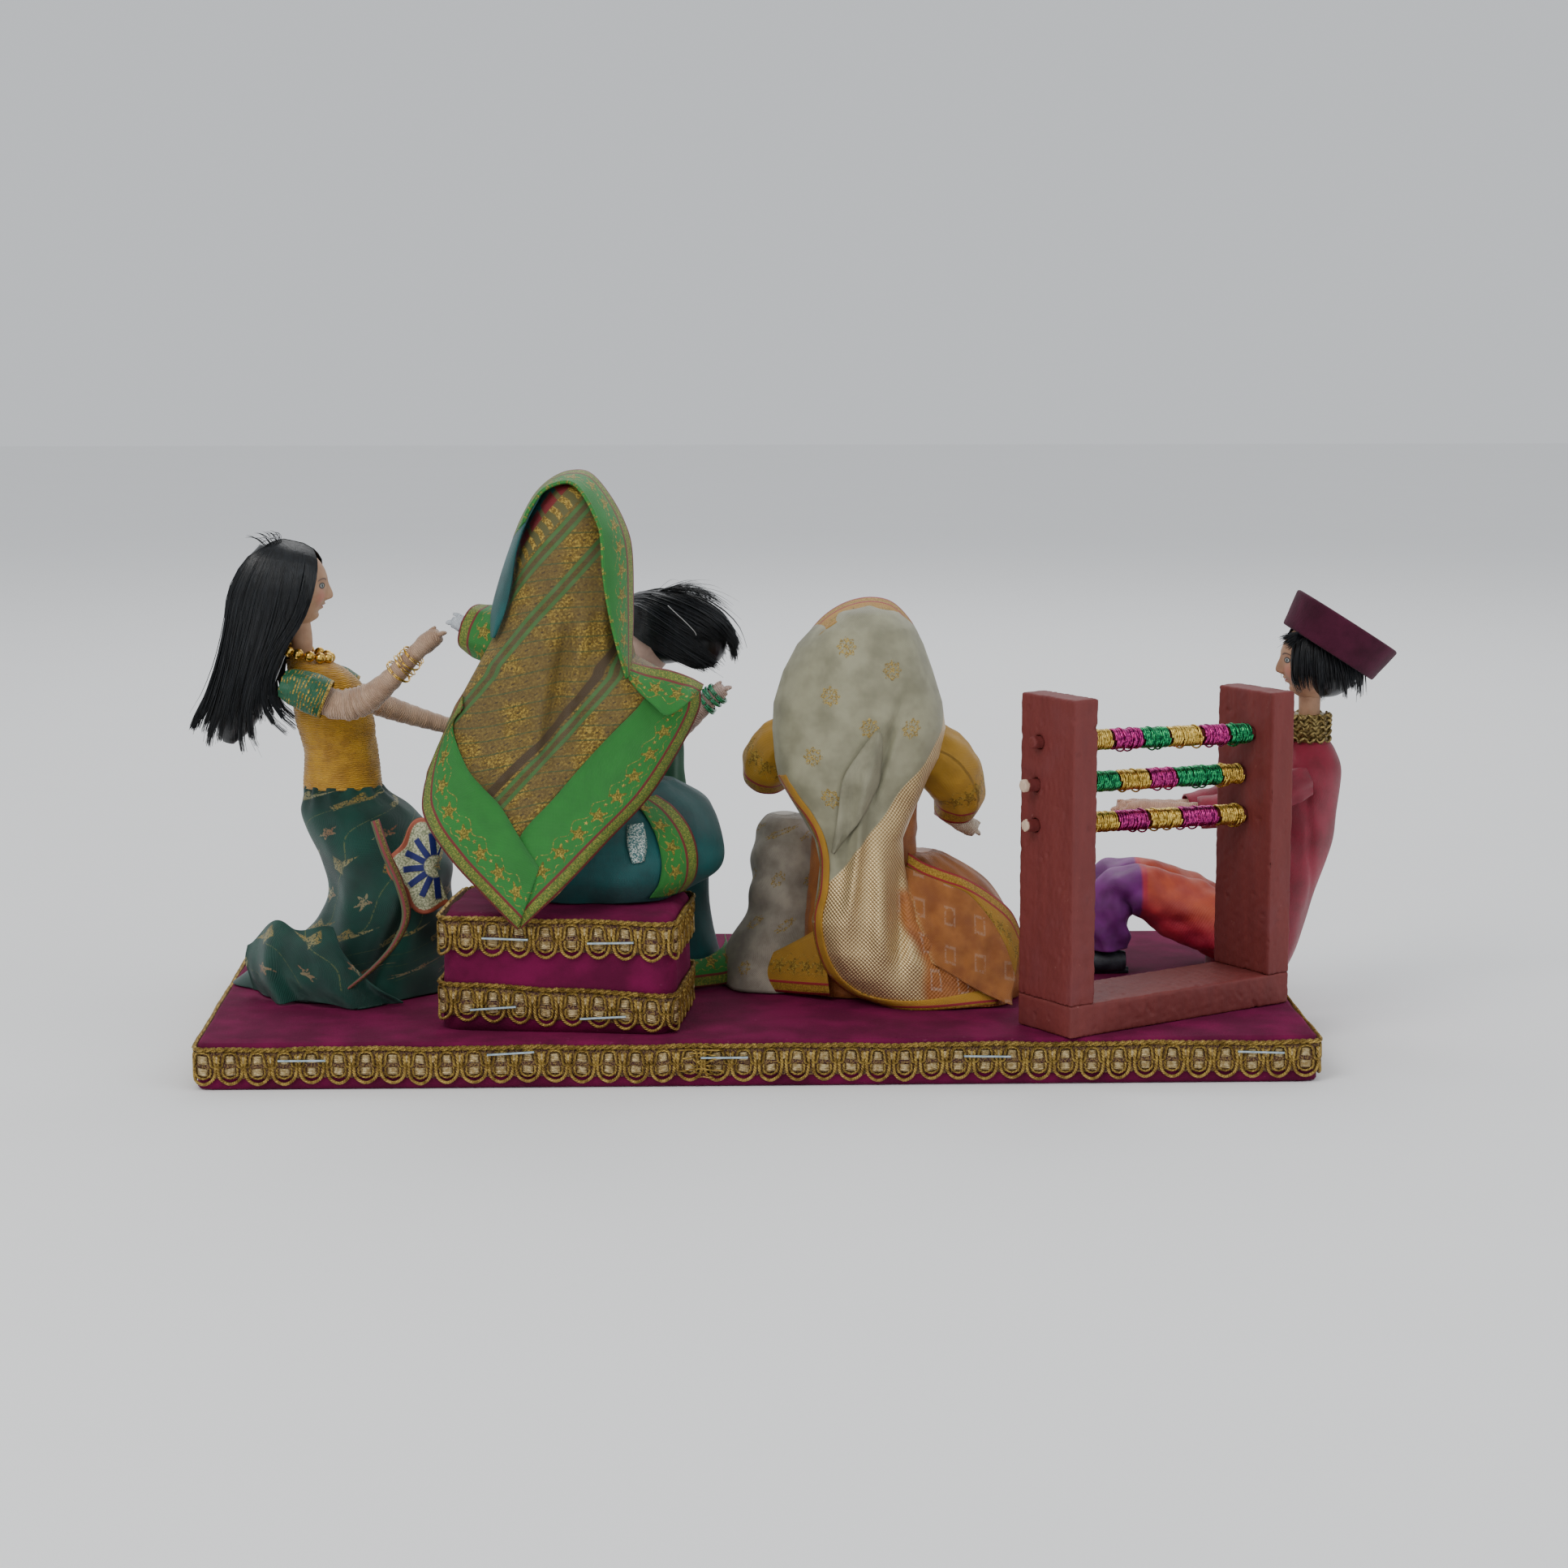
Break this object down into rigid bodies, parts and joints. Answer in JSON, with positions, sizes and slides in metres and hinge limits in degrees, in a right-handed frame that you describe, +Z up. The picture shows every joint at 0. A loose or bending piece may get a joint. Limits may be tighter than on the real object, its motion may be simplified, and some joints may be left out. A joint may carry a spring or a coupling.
{
  "type": "doll tableau of a bangle seller",
  "caption": "Handmade cloth dolls on a velvet board: a seated woman in a brocade veil, a girl, an older woman and a seller behind a red stand of wire bangles.",
  "frame": {"origin": "centre of the board's flat underside", "axes": "+X along the board from the kneeling girl to the seller, +Y to the side the seated dolls face, +Z up"},
  "size_m": [0.3521, 0.1492, 0.164],
  "materials": {
    "board_core": "bare board",
    "velvet": "short pile velvet",
    "gold_lace": "metallic woven lace",
    "staple_wire": "drawn wire",
    "red_paint": "matt red brown paint",
    "gold_wire": "coiled shiny wire",
    "magenta_wire": "coiled shiny wire",
    "green_wire": "coiled shiny wire",
    "pale_skin": "wound thread and cloth",
    "tan_skin": "painted cloth",
    "black_floss": "glossy silk floss",
    "gold_bead": "polished bead",
    "yellow_thread": "wound silk thread",
    "green_brocade": "woven brocade",
    "bangle_wire": "polished wire",
    "skirt_brocade": "dark green brocade",
    "pallu_brocade": "brown gold brocade with green borders",
    "teal_silk": "plain woven silk",
    "companion_cloth": "green brocade",
    "green_bangle": "lacquered bangle",
    "cream_silk": "cream silk and gold tissue",
    "orange_brocade": "orange and yellow brocade",
    "maroon_felt": "stiff felt",
    "crimson_silk": "plain woven silk",
    "shot_silk": "purple and red shot silk",
    "dark_shoe": "dark felt"
  },
  "bodies": {
    "tableau": {"base_board": "board_core", "base_lace": "gold_lace", "base_velvet": "velvet", "companion_arm": "pale_skin", "companion_bangles": "green_bangle", "companion_dress": "companion_cloth", "companion_hair": "black_floss", "companion_head": "pale_skin", "elder_head": "pale_skin", "elder_left_sleeve": "orange_brocade", "elder_pallu": "cream_silk", "elder_right_hand": "pale_skin", "elder_right_sleeve": "orange_brocade", "elder_sari": "orange_brocade", "elder_torso": "orange_brocade", "girl_necklace": "gold_bead", "girl_skirt": "skirt_brocade", "girl_torso": "yellow_thread", "lady_head": "pale_skin", "lady_left_arm": "pale_skin", "lady_left_sleeve": "green_brocade", "lady_pallu": "pallu_brocade", "lady_right_arm": "pale_skin", "lady_sari": "teal_silk", "lady_torso": "green_brocade", "seat_block": "board_core", "seat_lace": "gold_lace", "seat_velvet": "velvet", "seller_collar": "gold_lace", "seller_kurta": "crimson_silk", "seller_legs": "shot_silk", "seller_shoes": "dark_shoe", "stand_left_upright": "red_paint", "stand_plank": "red_paint", "stand_right_upright": "red_paint", "staples": "staple_wire"},
    "rod_top": {"coils_top_gold": "gold_wire", "coils_top_green": "green_wire", "coils_top_magenta": "magenta_wire", "rod_top": "red_paint"},
    "rod_middle": {"coils_middle_gold": "gold_wire", "coils_middle_green": "green_wire", "coils_middle_magenta": "magenta_wire", "rod_middle": "red_paint"},
    "rod_bottom": {"coils_bottom_gold": "gold_wire", "coils_bottom_magenta": "magenta_wire", "rod_bottom": "red_paint"},
    "girl_head": {"girl_head": "pale_skin", "girl_hair": "black_floss", "girl_earrings": "gold_bead"},
    "girl_right_arm": {"girl_right_arm": "pale_skin", "girl_right_cuff": "green_brocade", "girl_bangles": "bangle_wire"},
    "girl_left_arm": {"girl_left_arm": "pale_skin", "girl_left_cuff": "green_brocade"},
    "seller_head": {"seller_head": "tan_skin", "seller_hair": "black_floss", "seller_cap": "maroon_felt"},
    "seller_left_arm": {"seller_left_arm": "crimson_silk"},
    "seller_right_arm": {"seller_right_arm": "crimson_silk"}
  },
  "joints": [
    {"name": "rod_top_spin", "type": "hinge", "parent": "tableau", "child": "rod_top", "pos_m": [0.07591, -0.06249, 0.0921], "axis": [0.8786, 0.476, -0.0374], "continuous": true},
    {"name": "rod_middle_spin", "type": "hinge", "parent": "tableau", "child": "rod_middle", "pos_m": [0.07526, -0.06148, 0.0802], "axis": [0.8623, 0.505, -0.0375], "continuous": true},
    {"name": "rod_bottom_spin", "type": "hinge", "parent": "tableau", "child": "rod_bottom", "pos_m": [0.0752, -0.0614, 0.0691], "axis": [0.8697, 0.4916, -0.043], "continuous": true},
    {"name": "girl_head_turn", "type": "hinge", "parent": "tableau", "child": "girl_head", "pos_m": [-0.1295, 0, 0.109], "axis": [0, 0, 1], "range_deg": [-20, 20]},
    {"name": "girl_right_arm_lower", "type": "hinge", "parent": "tableau", "child": "girl_right_arm", "pos_m": [-0.127, -0.0137, 0.1], "axis": [0, 1, 0], "range_deg": [0, 45]},
    {"name": "girl_left_arm_swing", "type": "hinge", "parent": "tableau", "child": "girl_left_arm", "pos_m": [-0.122, 0.0137, 0.0985], "axis": [0, 1, 0], "range_deg": [-30, 20]},
    {"name": "seller_head_turn", "type": "hinge", "parent": "tableau", "child": "seller_head", "pos_m": [0.1645, 0.017, 0.0845], "axis": [0, 0, 1], "range_deg": [-20, 20]},
    {"name": "seller_left_arm_swing", "type": "hinge", "parent": "tableau", "child": "seller_left_arm", "pos_m": [0.16, 0.0004, 0.0705], "axis": [0, 1, 0], "range_deg": [-10, 30]},
    {"name": "seller_right_arm_swing", "type": "hinge", "parent": "tableau", "child": "seller_right_arm", "pos_m": [0.16, 0.033, 0.0695], "axis": [0, 1, 0], "range_deg": [-10, 30]}
  ]
}
